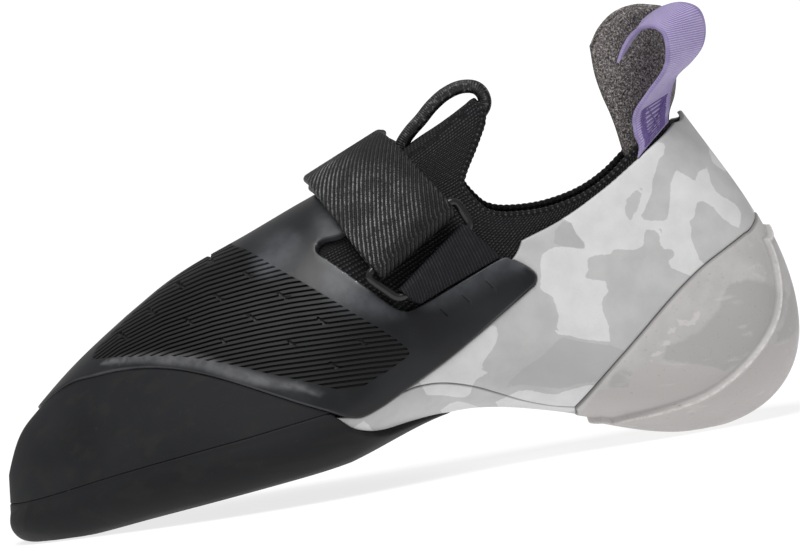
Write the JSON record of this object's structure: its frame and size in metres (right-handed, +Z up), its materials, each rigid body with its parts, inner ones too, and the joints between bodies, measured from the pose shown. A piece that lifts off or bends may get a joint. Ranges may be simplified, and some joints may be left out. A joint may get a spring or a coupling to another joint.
{
  "type": "climbing shoe",
  "caption": "Left climbing shoe: downturned knitted bootie with a rubber sole, a ribbed toe patch, a camouflage rand, a heel cup, one strap with a ring, and pull loops.",
  "frame": {"origin": "middle of the shoe's box, on the floor that the sole and the heel stand on", "axes": "+Z up; +X from the toe to the heel; -Y to the lateral side, which the picture shows"},
  "size_m": [0.2542, 0.0914, 0.133],
  "materials": {
    "knit": "black ribbed knit",
    "board": "fibre board with a fabric face",
    "sole_rubber": "matte charcoal rubber",
    "patch_rubber": "semi-gloss moulded black rubber",
    "camo_rubber": "white and grey camouflage rubber",
    "heel_rubber": "warm grey moulded rubber",
    "strap_web": "glossy black ribbed hook-and-loop strap",
    "ring_plastic": "glossy black plastic",
    "twill": "dark twill webbing",
    "loop_web": "glossy black woven band",
    "suede": "grey suede",
    "lilac_web": "lilac ribbed webbing"
  },
  "bodies": {
    "root": {"upper": "knit", "insole": "board", "outsole": "sole_rubber", "toe_rand": "sole_rubber", "toe_patch": "patch_rubber", "sling_rand": "camo_rubber", "arch_panel": "camo_rubber", "heel_cup": "heel_rubber", "strap": "strap_web", "strap_ring": "ring_plastic", "ring_keeper": "twill", "tongue_loop": "loop_web", "heel_tab": "suede", "heel_loop": "lilac_web"}
  },
  "joints": []
}
